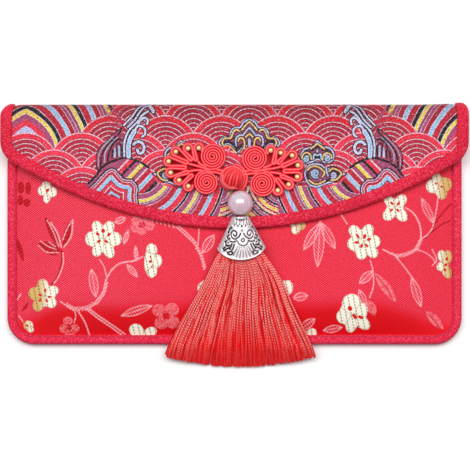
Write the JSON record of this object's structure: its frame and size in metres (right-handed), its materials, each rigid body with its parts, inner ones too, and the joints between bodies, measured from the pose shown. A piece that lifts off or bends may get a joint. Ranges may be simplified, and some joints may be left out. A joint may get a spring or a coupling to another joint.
{
  "type": "silk gift envelope with tassel",
  "caption": "Flat red silk brocade gift envelope with a bound pouch and fold-over flap, a knotted frog fastening, a pearl and a capped tassel.",
  "frame": {"origin": "middle of the back, on the plane that the envelope lies on", "axes": "+X along the envelope, +Y from its foot towards its fold, +Z out of its front"},
  "size_m": [0.19, 0.107, 0.0212],
  "materials": {
    "floral_silk": "satin brocade with a fine twill",
    "wave_silk": "many-coloured brocade",
    "binding_tape": "matt twill tape",
    "frog_silk": "satin strip",
    "gold_bead": "polished",
    "pearl": "pearl lustre",
    "cap_metal": "cast, bright on the relief and dark in the recesses",
    "tassel_silk": "twisted silk thread"
  },
  "bodies": {
    "root": {"back_panel": "floral_silk", "front_panel": "floral_silk", "pouch_binding": "binding_tape", "flap": "wave_silk", "flap_binding": "binding_tape", "frog_left_scroll": "frog_silk", "frog_left_petals": "frog_silk", "frog_left_bead_1": "gold_bead", "frog_left_bead_2": "gold_bead", "frog_left_bead_3": "gold_bead", "frog_left_bead_4": "gold_bead", "frog_left_bead_5": "gold_bead", "frog_left_bead_6": "gold_bead", "frog_left_bead_7": "gold_bead", "frog_right_scroll": "frog_silk", "frog_right_petals": "frog_silk", "frog_right_bead_1": "gold_bead", "frog_right_bead_2": "gold_bead", "frog_right_bead_3": "gold_bead", "frog_right_bead_4": "gold_bead", "frog_right_bead_5": "gold_bead", "frog_right_bead_6": "gold_bead", "frog_right_bead_7": "gold_bead", "frog_knot": "frog_silk", "frog_loop": "frog_silk", "pearl": "pearl", "hanging_cord": "frog_silk", "tassel_cap": "cap_metal", "tassel": "tassel_silk"}
  },
  "joints": []
}
